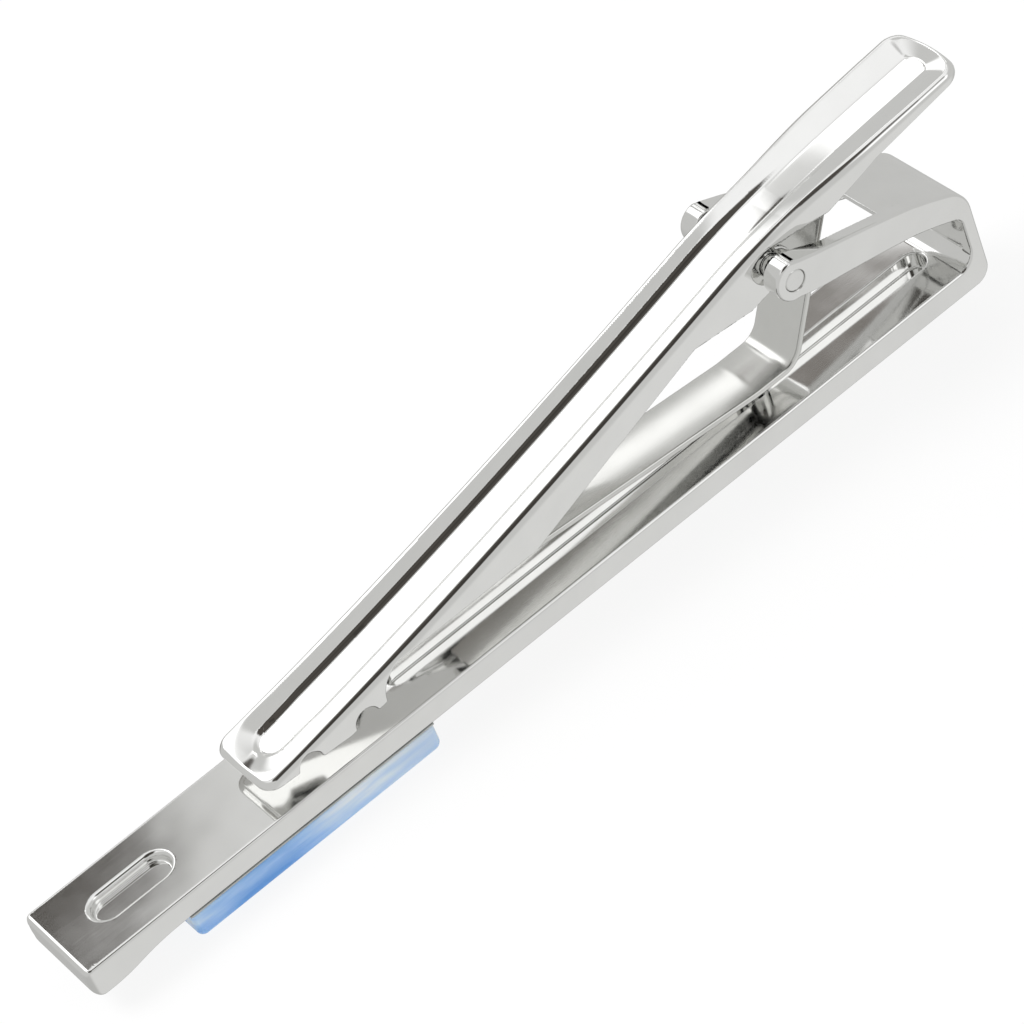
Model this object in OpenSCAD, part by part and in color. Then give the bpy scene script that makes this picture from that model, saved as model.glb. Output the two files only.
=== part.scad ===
// Spring-lever tie clip: a front bar with a stone insert, a bracket, a pivoted lever and a leaf spring.
// X runs along the bar from its swelled end to the bracket. Z points from the insert to the lever.
// The origin is the centre of the insert's front face. Lengths are in millimetres.

/* [Bar] */
// Length of the bar over its swelled end and its end wall
bar_l = 58.8; // [52:0.1:66]
// Width of the bar
bar_w = 5.75; // [5.2:0.05:6.6]
// Thickness of the bar
bar_t = 1.4; // [1.2:0.05:1.8]
// Radius of the bead at the swelled end
bead_r = 0.95; // [0.8:0.01:1.1]
// Radius of the bar's corners, seen from the back
bar_corner_r = 0.45; // [0.2:0.05:0.9]

/* [Slots in the bar's back] */
// Distance from the swelled end to the short slot
short_slot_x = 2.5; // [2:0.05:4]
// Length of the short slot
short_slot_l = 4.6; // [3:0.1:6]
// Width of the short slot
short_slot_w = 1.7; // [1:0.05:2]
// Depth of the short slot
short_slot_d = 0.5; // [0.3:0.05:0.8]
// Distance from the swelled end to the long slot
long_slot_x = 20.9; // [18:0.1:24]
// Length of the long slot
long_slot_l = 36; // [32:0.1:37]
// Width of the long slot
long_slot_w = 1.5; // [1.2:0.05:1.9]
// Depth of the long slot
long_slot_d = 1; // [0.6:0.05:1.1]

/* [Insert] */
// Distance from the swelled end to the insert
insert_x = 5.95; // [5:0.05:8]
// Length of the insert
insert_l = 15.3; // [12:0.1:18]
// Thickness of the insert
insert_t = 1.62; // [1.2:0.02:2.2]
// Radius of the insert's front edges at its two ends
insert_edge_r = 0.45; // [0.1:0.05:0.8]
// Thickness of the cement under the insert
bond_t = 0.08; // [0.05:0.01:0.15]

/* [Bracket] */
// Distance from the swelled end to the pivot
pivot_x = 47.5; // [44:0.1:50]
// Height of the pivot over the bar's back
pivot_z = 7.95; // [7.4:0.05:8.4]
// Width over the lobes of the arms
lobe_span = 7.8; // [7.4:0.05:8.2]
// Gap between the arms at the pivot
arm_gap = 5.5; // [5:0.05:5.7]
// Radius of the lobes
lobe_r = 1.15; // [1.05:0.05:1.4]
// Height of the arms where they meet the end wall
arm_h = 1.75; // [1.4:0.05:2.1]
// Height of the arms' middle over the bar where they meet the end wall
arm_end_z = 4.1; // [3.6:0.05:4.5]
// Slope of the arms beside the lobes, in degrees
lobe_slope = 19; // [15:0.5:22]
// Slope of the arms beside the end wall, in degrees
end_slope = 24; // [20:0.5:28]
// Radius of the corner between the end wall and the arms
corner_r = 1.8; // [1.2:0.1:2.2]
// Thickness of the end wall
end_wall_t = 0.75; // [0.6:0.05:1]
// Thickness of the arms between the lobes and the end wall
arm_t = 0.75; // [0.65:0.05:1]
// Thickness of the top plate
plate_t = 0.5; // [0.4:0.05:0.7]
// Length of the top plate, from the end wall's outer face to its free edge
plate_l = 4.9; // [4:0.1:6]
// Step down from the arms to the top plate at its free edge
plate_drop = 0.35; // [0.2:0.05:0.5]

/* [Lever] */
// Distance from the swelled end to the lever's tip
lever_x = 12.2; // [11:0.1:14]
// Length of the lever
lever_l = 48.8; // [46:0.1:50]
// Width of the lever at its jaw
jaw_w = 4.9; // [4.4:0.05:5.4]
// Width of the lever between the arms
waist_w = 4.25; // [4.1:0.05:4.4]
// Width of the lever at its thumb end
thumb_w = 5.2; // [4.6:0.05:5.6]
// How far the thumb end bows out past its corners
thumb_bow = 0.35; // [0.1:0.05:0.6]
// Thickness of the lever's side walls
wall_t = 0.4; // [0.3:0.05:0.5]
// Thickness of the metal under the recessed panel
roof_t = 0.3; // [0.25:0.05:0.4]
// Depth of the recessed panel
panel_d = 0.4; // [0.3:0.05:0.5]
// Width of the rim round the panel
rim_w = 0.75; // [0.6:0.05:0.9]
// Distance from the lever's tip to the panel
panel_x = 1.5; // [1:0.1:2]
// Height of the lever's back over the bar at the tip
tip_z = 1.75; // [1.6:0.05:2.2]
// Height of the lever's back over the bar at the thumb end
thumb_z = 11.4; // [11:0.1:12.2]
// Gap between the lowest tooth and the bar
bite_gap = 0.95; // [0.6:0.05:1.2]
// Length of the jaw
jaw_l = 7.6; // [6.5:0.1:8.5]
// Radius of the two notches between the teeth
notch_r = 0.7; // [0.5:0.05:0.8]
// Radius of the ears
ear_r = 1.15; // [1.05:0.05:1.3]

/* [Pivot pin] */
// Radius of the pivot pin
pin_r = 0.6; // [0.5:0.02:0.7]
// Radial clearance between the pin and the lever's ears
pin_clear = 0.04; // [0.02:0.01:0.08]
// Radial clearance between the pin and the arms that hold it
seat_clear = 0.01; // [0.005:0.005:0.02]

/* [Leaf spring] */
// Thickness of the leaf
leaf_t = 0.35; // [0.3:0.01:0.4]
// Width of the leaf
leaf_w = 3.5; // [3:0.05:3.55]
// Height of the leaf's belly over the bar, at the middle of its thickness
belly_z = 1.2; // [1:0.05:1.5]
// Distance from the belly's left bend back to the leaf's left end
leaf_arm_l = 19.3; // [17:0.1:20]
// Gap between the leaf's left end and the lever's roof
leaf_end_gap = 0.45; // [0.2:0.05:0.8]
// Length of the flat belly between its bends
belly_l = 2.6; // [2.3:0.1:3.4]
// Distance from the pivot back to the foot of the riser
riser_foot = 0.35; // [0.1:0.05:0.7]
// Slope of the riser, in degrees
riser_slope = 60; // [57:0.5:62]
// Inner radius of the bends at the riser's foot and top
riser_bend_r = 1.3; // [1:0.1:1.6]
// Length of the land at the riser's top, under the lever's tail
land_l = 2.4; // [2:0.1:3]
// Gap between the land and the lever
land_gap = 0.05; // [0.03:0.01:0.1]

/* [Spring post] */
// Radius of the post that carries the leaf
post_r = 0.65; // [0.5:0.01:0.7]

/* [Hidden] */
$fn = 96;
curve_steps = 12;
// How far a cutting shape runs past the surface that it opens
over = bar_t;

// Heights of the bar's faces over the insert's front face
front_z = insert_t + bond_t;
back_z = front_z + bar_t;
insert_mid_x = insert_x + insert_l / 2;
// The bead runs out into the bar just before the insert
swell_end_x = insert_x - bond_t;

// The arms run in a shallow bow from the lobes to the rounded corner over the end wall
pivot = [pivot_x, pivot_z];
arm_end = [bar_l - corner_r * (1 - sin(end_slope)), arm_end_z];
arm_third = (arm_end[0] - pivot_x) / 3;
corner = [bar_l - corner_r, arm_end_z + arm_h / 2 - corner_r * cos(end_slope)];
// The window under the arms is rounded where it meets the end wall
window_x = bar_l - end_wall_t;
window_low_r = arm_h * 0.6;
window_high_r = arm_h * 0.25;

// Places along the lever, counted from its tip
lever_end_x = lever_x + lever_l;
jaw_end_x = lever_x + jaw_l;
lever_turn_x = pivot_x - 2.6 * ear_r;
widen_x = pivot_x + ear_r;
// The jaw's teeth stand at the tip, at this share of the jaw, and at the jaw's end
low_tooth_share = 0.67;
notch_shares = [0.36, 0.825];
low_tooth_x = lever_x + jaw_l * low_tooth_share;
tooth_rise = bite_gap * 0.35;
// The wall's lower edge: its level run after the jaw, then its climb to the ears
level_z = bite_gap * 3.1;
level_end_x = pivot_x - (pivot_x - jaw_end_x) * 0.63;
climb_end_x = pivot_x - ear_r * 4.9;
climb_end_z = pivot_z - ear_r * 0.9;
// The tail's lower edge: level beside the ears, then two slopes up to the thumb end
tail_x = pivot_x + ear_r * 3.25;
tail_z = pivot_z + ear_r * 0.7;
tail_end_x = pivot_x + ear_r * 6.2;
thumb_edge_t = wall_t * 1.5;
// The roof laps into the walls, and into the rim over it
roof_inset = wall_t * 0.7;
roof_lap_share = 0.8;
tail_end_z = tail_z + (thumb_z - thumb_edge_t - tail_z) * 0.52;

// The corners of the leaf's path: its belly, the foot of its riser, and the land under the lever's tail
riser_foot_x = pivot_x - riser_foot;
belly_left_x = riser_foot_x - belly_l;
post_x = belly_left_x + belly_l * 0.3;
leaf_end_x = belly_left_x - leaf_arm_l;
leaf_arm_slope = atan((lever_top_at(leaf_end_x) - roof_t - panel_d - leaf_end_gap - leaf_t / 2 - belly_z) / leaf_arm_l);
// The land lies under the roof of the lever's tail, at its slope
land_z = lever_top_at(tail_x) - roof_t - panel_d - land_gap - leaf_t / 2;
land_slope = atan((lever_top_at(tail_x + land_l) - lever_top_at(tail_x)) / land_l);
land_x = (land_z - belly_z + riser_foot_x * tan(riser_slope) - tail_x * tan(land_slope))
    / (tan(riser_slope) - tan(land_slope));

// A point of a smooth curve with four control points
function curve_point(p, t) = p[0] * pow(1 - t, 3) + p[1] * 3 * t * pow(1 - t, 2)
    + p[2] * 3 * t * t * (1 - t) + p[3] * pow(t, 3);
function curve(p) = [for (i = [0:curve_steps]) curve_point(p, i / curve_steps)];
function ease(t) = (1 - cos(180 * t)) / 2;
function raised(points, dz) = [for (p = points) [p[0], p[1] + dz]];
function backwards(points) = [for (i = [len(points) - 1:-1:0]) points[i]];
function flipped(points) = [for (p = backwards(points)) [p[0], -p[1]]];
function arc(centre, r, from, to) = [for (i = [0:curve_steps])
    let (a = from + (to - from) * i / curve_steps) centre + r * [cos(a), sin(a)]];

// The lever's back, in side view: a hollow run from the tip, then a crest that flattens to the thumb end.
// The shares are of the tip-to-turn run and of the turn-to-thumb run, along X and along Z.
function lever_turn_z() = tip_z + (thumb_z - tip_z) * 0.772;
function front_run() = let (w = lever_turn_x - lever_x, h = lever_turn_z() - tip_z)
    [for (s = [[0, 0], [0.32, 0.225], [0.66, 0.588], [1, 1]]) [lever_x + w * s[0], tip_z + h * s[1]]];
function rear_run() = let (w = lever_end_x - lever_turn_x, h = thumb_z - lever_turn_z())
    [for (s = [[0, 0], [0.3, 0.625], [0.646, 0.718], [1, 1]])
        [lever_turn_x + w * s[0], lever_turn_z() + h * s[1]]];
function lever_back() = concat(curve(front_run()), [for (i = [1:curve_steps]) curve_point(rear_run(), i / curve_steps)]);
function lever_top_at(x) = lookup(x, lever_back());

// Half the lever's width along its length
function lever_half(x) =
    x < jaw_end_x ? jaw_w / 2 :
    x < lever_turn_x ? (jaw_w + (waist_w - jaw_w) * ease((x - jaw_end_x) / (lever_turn_x - jaw_end_x))) / 2 :
    x < widen_x ? waist_w / 2 :
    x < tail_end_x ? (waist_w + (thumb_w - waist_w) * ease((x - widen_x) / (tail_end_x - widen_x))) / 2 :
    thumb_w / 2;

// The outline of the lever seen from above, drawn in by inset all round and rounded at its four corners
function lever_side(inset, r) =
    let (x0 = lever_x + inset, x1 = lever_end_x - thumb_bow - inset, end_half = thumb_w / 2 - inset)
    concat(
        arc([x0 + r, lever_half(x0) - inset - r], r, 180, 90),
        [for (i = [1:3 * curve_steps]) let (x = x0 + r + (x1 - x0 - 2 * r) * i / (3 * curve_steps + 1))
            [x, lever_half(x) - inset]],
        bowed(concat(arc([x1 - r, end_half - r], r, 90, 0),
            [for (i = [1:curve_steps]) [x1, (end_half - r) * (1 - i / curve_steps)]]), end_half));
// Moves the points of the thumb end out, most at the middle and not at all at its sides
function bowed(points, half) = [for (p = points) [p[0] + thumb_bow * (1 - pow(p[1] / half, 2)), p[1]]];
module lever_plan(inset, r) polygon(concat(lever_side(inset, r), flipped(lever_side(inset, r))));

// Draws a side view: the outline's first axis is X, its second is the height over the bar's back
module from_side(width) translate([0, 0, back_z]) rotate([90, 0, 0]) linear_extrude(width, center = true) children();
module rod(x, z, r, length) translate([x, 0, back_z + z]) rotate([90, 0, 0]) cylinder(h = length, r = r, center = true);
// Everything is drawn from the bar's swelled end, then moved so that the insert's centre is the origin
module placed() translate([-insert_mid_x, 0, 0]) children();

module slot_cut(x, length, width, depth) translate([x + width / 2, 0, back_z - depth]) linear_extrude(depth + over) union() {
    circle(d = width);
    translate([length - width, 0]) circle(d = width);
    translate([0, -width / 2]) square([length - width, width]);
}

// The bar in side view, with the bead at its swelled end and the run-out along its front
module bar_outline() union() {
    translate([bead_r, -bead_r]) circle(bead_r);
    polygon(concat(
        [[bead_r, 0]],
        curve([[bead_r, -2 * bead_r], [swell_end_x / 2, -2 * bead_r], [swell_end_x / 2, -bar_t], [swell_end_x, -bar_t]]),
        [[bar_l - bar_t / 2, -bar_t], [bar_l - bar_t / 2, 0]]));
    translate([bar_l - bar_t / 2, -bar_t / 2]) circle(d = bar_t);
}

// The middle line of the arms, and their top and lower edges; the arms taper from the lobes to the end wall
function arm_middle(t) = curve_point([pivot, pivot + arm_third * [1, -tan(lobe_slope)],
    arm_end - arm_third * [1, -tan(end_slope)], arm_end], t);
function arm_half(t) = lobe_r + (arm_h / 2 - lobe_r) * t;
function arm_edge(side) = [for (i = [0:curve_steps])
    let (t = i / curve_steps) arm_middle(t) + [0, side * arm_half(t)]];

// The rounded corner and the end wall, in side view
module end_outline() {
    translate(corner) circle(corner_r);
    translate([corner[0], -bar_t / 2]) square([corner_r, corner[1] + bar_t / 2]);
}

module bracket_outline() difference() {
    union() {
        end_outline();
        polygon(concat(arm_edge(1), [corner], backwards(arm_edge(-1))));
        translate(pivot) circle(lobe_r);
    }
    window_outline();
}
// The window between the arms and the bar, with a rounded end
module window_outline() {
    polygon(concat(
        arm_edge(-1),
        arc([window_x - window_high_r, arm_end_z - arm_h / 2 - window_high_r], window_high_r, 90 - end_slope, 0),
        arc([window_x - window_low_r, window_low_r], window_low_r, 0, -90),
        [[pivot_x, 0]]));
}
// The arms seen from above: they splay from the bar's width to the lobes, and are thicker there
arm_splay_x = pivot_x + lobe_r;
arm_thin_x = arm_splay_x + lobe_r;
arm_root_x = bar_l - plate_l * 0.7;
function arm_side(x) = lookup(x, [[arm_splay_x, lobe_span / 2], [arm_root_x, bar_w / 2]]);
module arms_plan(side) polygon([
    [bar_l, side * bar_w / 2],
    [arm_root_x, side * bar_w / 2],
    [arm_splay_x, side * lobe_span / 2],
    [pivot_x - lobe_r, side * lobe_span / 2],
    [pivot_x - lobe_r, side * arm_gap / 2],
    [arm_splay_x, side * arm_gap / 2],
    [arm_thin_x, side * (arm_side(arm_thin_x) - arm_t)],
    [arm_root_x, side * (bar_w / 2 - arm_t)],
    [bar_l, side * (bar_w / 2 - arm_t)]]);

module bar() color("silver") placed() difference() {
    union() {
        intersection() {
            from_side(bar_w) bar_outline();
            linear_extrude(back_z + over) union() {
                translate([bar_corner_r, -bar_w / 2]) square([bar_l - bar_corner_r, bar_w]);
                translate([0, bar_corner_r - bar_w / 2]) square([bar_corner_r, bar_w - 2 * bar_corner_r]);
                for (side = [-1, 1]) translate([bar_corner_r, side * (bar_w / 2 - bar_corner_r)]) circle(bar_corner_r);
            }
        }
        intersection() {
            from_side(lobe_span) bracket_outline();
            linear_extrude(back_z + pivot_z + 2 * lobe_r) for (side = [-1, 1]) arms_plan(side);
        }
        // The end wall and the top plate close the gap between the arms
        from_side(bar_w - arm_t) plate_outline();
    }
    slot_cut(short_slot_x, short_slot_l, short_slot_w, short_slot_d);
    slot_cut(long_slot_x, long_slot_l, long_slot_w, long_slot_d);
    rod(pivot_x, pivot_z, pin_r + seat_clear, 2 * lobe_span);
}
// The end wall and the top plate in side view: the plate lies under the arms' top, by a step that shrinks
// from its free edge to the corner
plate_end_share = 0.15;
plate_start_t = 1 - (plate_l - corner_r * (1 - sin(end_slope))) / (arm_end[0] - pivot_x);
function plate_step(u) = plate_drop * (1 - (1 - plate_end_share) * u);
function plate_edge(depth) = [for (i = [0:curve_steps])
    let (u = i / curve_steps, t = plate_start_t + (1 - plate_start_t) * u)
    arm_middle(t) + [0, arm_half(t) - plate_step(u) - depth]];
module plate_outline() {
    translate([window_x, -bar_t / 2]) square([end_wall_t, corner[1] + bar_t / 2]);
    polygon(concat(
        plate_edge(0),
        arc(corner, corner_r - plate_step(1), 90 - end_slope, 0),
        arc(corner, corner_r - end_wall_t, 0, 90 - end_slope),
        backwards(plate_edge(plate_t))));
}

module insert_outline() {
    translate([insert_x, -front_z + insert_edge_r]) square([insert_l, insert_t - insert_edge_r]);
    translate([insert_x + insert_edge_r, -front_z]) square([insert_l - 2 * insert_edge_r, insert_t]);
    for (x = [insert_x + insert_edge_r, insert_x + insert_l - insert_edge_r])
        translate([x, -front_z + insert_edge_r]) circle(insert_edge_r);
}
module insert() color("lightsteelblue") placed() translate([0, 0, -bar_t]) from_side(bar_w) insert_outline();

module insert_bond() color("whitesmoke") placed()
    translate([insert_x, -bar_w / 2, insert_t]) cube([insert_l, bar_w, bond_t]);

// The lower edge of the lever's walls, from the thumb end back to the tip
function lever_lower_edge() = concat(
    [[lever_end_x, thumb_z - thumb_edge_t], [tail_end_x, tail_end_z], [tail_x, tail_z]],
    arc(pivot, ear_r, 70, -110),
    [[pivot_x - 1.7 * ear_r, pivot_z - 1.22 * ear_r], [climb_end_x, climb_end_z], [level_end_x, level_z]],
    arc([jaw_end_x + level_z - bite_gap - tooth_rise, bite_gap + tooth_rise], level_z - bite_gap - tooth_rise, 90, 180),
    [[low_tooth_x, bite_gap], [lever_x, bite_gap + tooth_rise]]);
module lever() color("gainsboro") placed() difference() {
    union() {
        difference() {
            intersection() {
                from_side(thumb_w) polygon(concat(lever_back(), lever_lower_edge()));
                linear_extrude(back_z + thumb_z + over) lever_plan(0, 2 * wall_t);
            }
            // The channel between the walls
            intersection() {
                from_side(thumb_w) polygon(concat(
                    raised(lever_back(), -roof_t - panel_d),
                    [[lever_end_x, -over], [lever_x, -over]]));
                linear_extrude(back_z + thumb_z + over) lever_plan(wall_t, wall_t);
            }
            // The notches between the jaw's teeth
            for (s = notch_shares) rod(lever_x + jaw_l * s, bite_gap + tooth_rise / 2, notch_r, 2 * thumb_w);
        }
        // The roof runs whole over the notches and where the walls are low
        intersection() {
            from_side(thumb_w) polygon(concat(
                raised(lever_back(), -panel_d * roof_lap_share),
                backwards(raised(lever_back(), -roof_t - panel_d))));
            linear_extrude(back_z + thumb_z + over) lever_plan(roof_inset, wall_t);
        }
    }
    // The recessed panel
    intersection() {
        from_side(thumb_w) polygon(concat(
            raised(lever_back(), -panel_d),
            [[lever_end_x, thumb_z + over], [lever_x, thumb_z + over]]));
        linear_extrude(back_z + thumb_z + 2 * over) lever_plan(rim_w, rim_w);
        translate([lever_x + panel_x, -thumb_w, 0]) cube([lever_l, 2 * thumb_w, back_z + thumb_z + over]);
    }
    rod(pivot_x, pivot_z, pin_r + pin_clear, 2 * lobe_span);
}

module pivot_pin() color("silver") placed() rod(pivot_x, pivot_z, pin_r, lobe_span);

// The leaf in side view: each of its faces is the same path at half the leaf's thickness from the middle.
// The bends at the belly turn about centres over it, and the bend at the riser's top about one under it.
bend_mid_r = riser_bend_r + leaf_t / 2;
arm_mid_r = 3 * bend_mid_r;
top_turn = riser_slope - land_slope;
foot_bend = [riser_foot_x - bend_mid_r * tan(riser_slope / 2), belly_z + bend_mid_r];
arm_bend = [belly_left_x + arm_mid_r * tan(leaf_arm_slope / 2), belly_z + arm_mid_r];
land_corner = [land_x, belly_z + (land_x - riser_foot_x) * tan(riser_slope)];
top_bend = land_corner + bend_mid_r * tan(top_turn / 2) * [cos(land_slope), sin(land_slope)]
    + bend_mid_r * [sin(land_slope), -cos(land_slope)];
arm_end_point = [leaf_end_x, belly_z + leaf_arm_l * tan(leaf_arm_slope)];
land_end = land_corner + (land_l + bend_mid_r * tan(top_turn / 2)) * [cos(land_slope), sin(land_slope)];
function leaf_face(side) = concat(
    [arm_end_point - side * leaf_t / 2 * [sin(leaf_arm_slope), cos(leaf_arm_slope)]],
    arc(arm_bend, arm_mid_r + side * leaf_t / 2, -90 - leaf_arm_slope, -90),
    arc(foot_bend, bend_mid_r + side * leaf_t / 2, -90, -90 + riser_slope),
    arc(top_bend, bend_mid_r - side * leaf_t / 2, 90 + riser_slope, 90 + land_slope),
    [land_end + side * leaf_t / 2 * [sin(land_slope), -cos(land_slope)]]);
module leaf_spring() color("gray") placed()
    from_side(leaf_w) polygon(concat(leaf_face(1), backwards(leaf_face(-1))));

module spring_post() color("darkgray") placed() translate([post_x, 0, back_z - long_slot_d])
    cylinder(h = long_slot_d + belly_z - leaf_t / 2, r = post_r);

bar();
insert();
insert_bond();
lever();
pivot_pin();
leaf_spring();
spring_post();
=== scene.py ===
"""Tie clip with a spring lever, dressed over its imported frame. Lengths are in metres."""
import math
import bmesh
import bpy
import numpy as np
from mathutils import Matrix, Vector


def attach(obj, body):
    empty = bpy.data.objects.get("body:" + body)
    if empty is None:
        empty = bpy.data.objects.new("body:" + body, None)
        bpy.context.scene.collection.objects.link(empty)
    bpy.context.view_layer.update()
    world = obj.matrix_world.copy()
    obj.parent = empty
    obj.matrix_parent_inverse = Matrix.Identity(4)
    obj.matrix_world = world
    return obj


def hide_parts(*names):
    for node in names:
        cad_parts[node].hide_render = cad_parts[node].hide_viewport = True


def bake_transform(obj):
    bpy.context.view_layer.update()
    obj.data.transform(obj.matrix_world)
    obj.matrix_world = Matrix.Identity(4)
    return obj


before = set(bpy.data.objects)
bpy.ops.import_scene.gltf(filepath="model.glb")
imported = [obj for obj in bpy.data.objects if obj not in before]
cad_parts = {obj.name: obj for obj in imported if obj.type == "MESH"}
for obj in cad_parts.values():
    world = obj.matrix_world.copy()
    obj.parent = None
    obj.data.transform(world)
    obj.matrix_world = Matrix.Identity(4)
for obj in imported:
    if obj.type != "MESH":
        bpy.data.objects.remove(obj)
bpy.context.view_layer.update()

# Bar
# One brass casting, bright plated: a flat bar with a bead at its swelled end, and a bracket at the other end that
# folds back over it as two arms. Polishing has rounded all its edges, and its back has two slots with soft rims.
MM = 0.001
# Shapes are worked out in millimetres, X from the swelled end and Z from the back. This is where that corner lies.
CORNER = np.array((-13.6, 0.0, 3.1))
BAR_LENGTH = 58.8
BAR_HALF = 2.875
BAR_THICK = 1.4
BEAD = 0.95
SWELL_END = 5.87
# How its edges are rounded: seen from above, along the outside, and inside the bracket
PLAN_CORNER = 0.5
OUTER_EDGE = 0.17
INNER_EDGE = 0.06
# Each slot's start, length, half width and depth, and the rounding along its floor and at its rim
SHORT_SLOT = (2.5, 4.6, 0.85, 0.5, 0.12, 0.26)
LONG_SLOT = (20.9, 36, 0.75, 1.0, 0.1, 0.1)
# The slots' cut stops at this height, under the top plate
SLOT_CUT_TOP = 2
# The pivot's place in side view, and the lobes round it
PIVOT = np.array((47.5, 7.95))
HOLE_RADIUS = 0.61
HOLE_EDGE = 0.05
LOBE_RADIUS = 1.15
LOBE_HALF = 3.9
LOBE_SLOPE = math.radians(19)
# From the lobes the arms soon thin down, and then close in to the bar's width at the bracket
ARM_GAP_HALF = 2.75
ARM_THICK = 0.75
ARM_HALF_HEIGHT = 0.875
ARM_DRAWN_IN = 0.25
ARM_THINNING = 1.3
SPLAY_START, SPLAY_END = 48.65, 55.37
# The end wall, its corners outside and in the window, and the top plate
WALL_X = BAR_LENGTH - 0.75
END_SLOPE = math.radians(24)
TOP_TURN = 90 - math.degrees(END_SLOPE)
FOOT_RADIUS = 0.95
CORNER_RADIUS = 1.8
WINDOW_HIGH_RADIUS = 0.5
WINDOW_LOW_RADIUS = 1.05
WINDOW_FLOOR = 0.7
PLATE_LENGTH = 4.9
PLATE_DROP = 0.42
PLATE_UNDERSIDE = 0.72
# How far an outline that cuts runs past the metal
PAST = 0.5
# Where the arms' middle line ends, and the middle of the corner over the end wall
ARM_END = np.array((BAR_LENGTH - CORNER_RADIUS * (1 - math.sin(END_SLOPE)), 4.1))
BEND = np.array((BAR_LENGTH - CORNER_RADIUS, ARM_END[1] + ARM_HALF_HEIGHT - CORNER_RADIUS * math.cos(END_SLOPE)))


def arc(centre, radius, start, end, steps=24):
    """Points of an arc, from one angle to another in degrees."""
    turn = np.radians(np.linspace(start, end, steps))
    return np.stack((centre[0] + radius * np.cos(turn), centre[1] + radius * np.sin(turn)), 1)


def bezier(a, b, c, d, steps=40):
    """Points of a smooth curve with four control points."""
    t = np.linspace(0, 1, steps)[:, None]
    a, b, c, d = (np.array(p, float) for p in (a, b, c, d))
    return a * (1 - t) ** 3 + 3 * b * t * (1 - t) ** 2 + 3 * c * t * t * (1 - t) + d * t ** 3


def polygon(u, v, corners):
    """Distance from a closed outline, below nought inside it."""
    u, v, corners = (np.asarray(a, np.float32) for a in (u, v, corners))
    nearest = np.full(u.shape, np.inf, np.float32)
    inside = np.zeros(u.shape, bool)
    for (au, av), (bu, bv) in zip(corners, np.roll(corners, -1, 0)):
        eu, ev = bu - au, bv - av
        if eu == 0 and ev == 0:
            continue
        along = np.clip(((u - au) * eu + (v - av) * ev) / (eu * eu + ev * ev), 0, 1)
        nearest = np.minimum(nearest, (u - au - eu * along) ** 2 + (v - av - ev * along) ** 2)
        if ev != 0:
            inside ^= ((av > v) != (bv > v)) & (u < eu * (v - av) / ev + au)
    return np.where(inside, -1, 1) * np.sqrt(nearest)


def meet(a, b, radius):
    """What two shapes share, with the edge between them rounded."""
    return np.minimum(-radius, np.maximum(a, b)) + np.hypot(np.maximum(radius + a, 0), np.maximum(radius + b, 0))


def join(a, b, radius):
    """Two shapes together, with a fillet between them."""
    return -meet(-a, -b, radius)


def smooth(x, start, end):
    """A soft climb from 0 to 1 between two places."""
    t = np.clip((x - start) / (end - start), 0, 1)
    return t * t * (3 - 2 * t)


def arm_edge(side, drop=0.0, start=0.0):
    """The upper or lower edge of the arms in side view."""
    third = (ARM_END[0] - PIVOT[0]) / 3
    middle = bezier(PIVOT, PIVOT + third * np.array((1, -math.tan(LOBE_SLOPE))),
                    ARM_END - third * np.array((1, -math.tan(END_SLOPE))), ARM_END)
    t = np.linspace(0, 1, len(middle))
    middle[:, 1] += side * (LOBE_RADIUS + (ARM_HALF_HEIGHT - LOBE_RADIUS) * t) - drop
    return middle[t >= start]


# The side view starts at the top of the swelled end's face, which bows a little, and goes round under the bar
lobe_turn = math.degrees(LOBE_SLOPE)
window_high = (WALL_X - WINDOW_HIGH_RADIUS, ARM_END[1] - ARM_HALF_HEIGHT - WINDOW_HIGH_RADIUS)
side_view = np.concatenate((
    arc((0.37, -0.35), 0.35, 90, 170, 10),
    arc((1.5, -0.75), 1.5, 167, 190, 10),
    arc((0.7, -1.2), 0.7, 195, 270, 16),
    bezier((BEAD, -2 * BEAD), (SWELL_END / 2, -2 * BEAD), (SWELL_END / 2, -BAR_THICK), (SWELL_END, -BAR_THICK), 30),
    arc((BAR_LENGTH - FOOT_RADIUS, -BAR_THICK + FOOT_RADIUS), FOOT_RADIUS, -90, 0),
    arc(BEND, CORNER_RADIUS, 0, TOP_TURN, 32),
    arm_edge(1)[::-1],
    arc(PIVOT, LOBE_RADIUS, 90 - lobe_turn, 270 - lobe_turn, 48),
    arm_edge(-1),
    arc(window_high, WINDOW_HIGH_RADIUS, TOP_TURN, 0, 12),
    arc((WALL_X - WINDOW_LOW_RADIUS, WINDOW_LOW_RADIUS), WINDOW_LOW_RADIUS, 0, -90)))
# The plate starts a step under the arms and has come up flush with them before the corner
plate_start = 1 - (PLATE_LENGTH - CORNER_RADIUS * (1 - math.sin(END_SLOPE))) / (ARM_END[0] - PIVOT[0])
plate_top = arm_edge(1, 0, plate_start)
plate_top[:, 1] -= np.linspace(PLATE_DROP, -PAST, len(plate_top))
plate_view = np.concatenate((
    plate_top,
    arc(BEND, CORNER_RADIUS + PAST, TOP_TURN, 0, 16),
    [(BAR_LENGTH + 2 * PAST, PAST), (WALL_X, PAST)],
    arc(BEND, CORNER_RADIUS - ARM_THICK, 0, TOP_TURN, 12),
    arm_edge(1, PLATE_UNDERSIDE, plate_start)[::-1]))


def slotted(casting, x, y, z, sizes):
    """A casting with a round-ended slot cut down into its back."""
    start, length, half, depth, floor_edge, rim = sizes
    plan = np.hypot(x - np.clip(x, start + half, start + length - half), y) - half
    return meet(casting, -np.maximum(meet(plan, -depth - z, floor_edge), z - SLOT_CUT_TOP), rim)


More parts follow.
